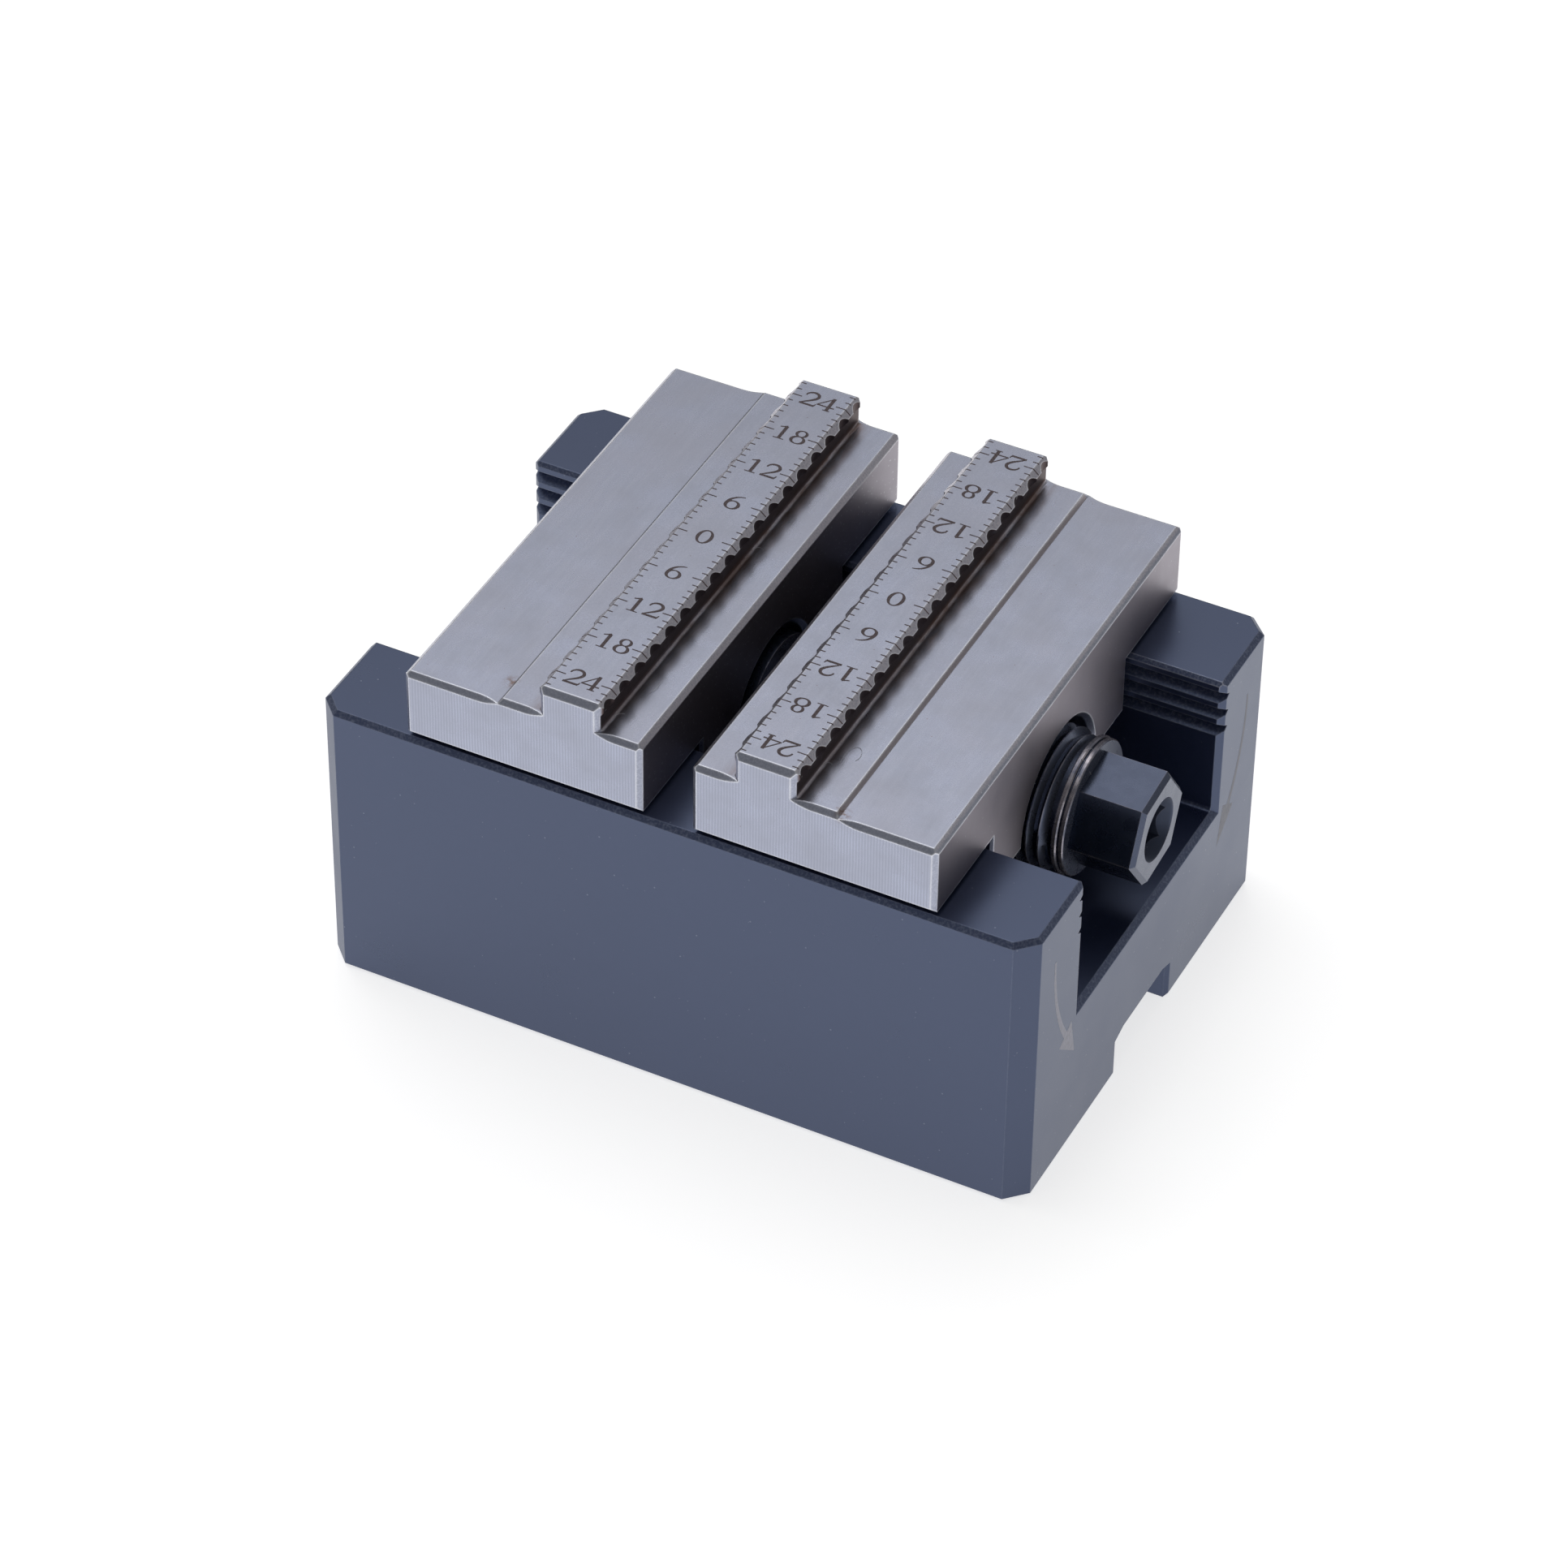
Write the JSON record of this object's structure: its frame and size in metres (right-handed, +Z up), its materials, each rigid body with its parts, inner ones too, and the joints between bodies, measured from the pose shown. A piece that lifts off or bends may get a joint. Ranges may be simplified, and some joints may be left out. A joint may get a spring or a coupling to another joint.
{
  "type": "self centering vise",
  "caption": "Compact self centering vise: two toothed jaws in a grooved channel, driven together by one spindle with opposite threads and a hexagon end.",
  "frame": {"origin": "middle of the underside, halfway between the two jaws", "axes": "+X along the spindle towards its hexagon end, +Y along the jaws, +Z up out of the body"},
  "size_m": [0.0755, 0.054, 0.0438],
  "materials": {
    "black_oxide_steel": "satin black oxide",
    "ground_steel": "satin ground steel",
    "dark_steel": "oiled black oxide",
    "screw_steel": "black oxide"
  },
  "bodies": {
    "vise_body": {"body": "black_oxide_steel", "spindle_saddle": "dark_steel", "saddle_screws": "screw_steel"},
    "spindle": {"spindle": "dark_steel"},
    "right_jaw": {"right_jaw": "ground_steel"},
    "left_jaw": {"left_jaw": "ground_steel"}
  },
  "joints": [
    {"name": "spindle_spin", "type": "hinge", "parent": "vise_body", "child": "spindle", "pos_m": [0, 0, 0.0265], "axis": [1, 0, 0], "range_deg": [-724, 2704]},
    {"name": "right_jaw_slide", "type": "slide", "parent": "vise_body", "child": "right_jaw", "axis": [1, 0, 0], "range_m": [-0.0025, 0.00937]},
    {"name": "left_jaw_slide", "type": "slide", "parent": "vise_body", "child": "left_jaw", "axis": [-1, 0, 0], "range_m": [-0.00252, 0.0094]}
  ],
  "couplings": [
    {"joint": "left_jaw_slide", "follows": "right_jaw_slide", "ratio": 1},
    {"joint": "spindle_spin", "follows": "right_jaw_slide", "rad_per_m": 5026.5}
  ]
}
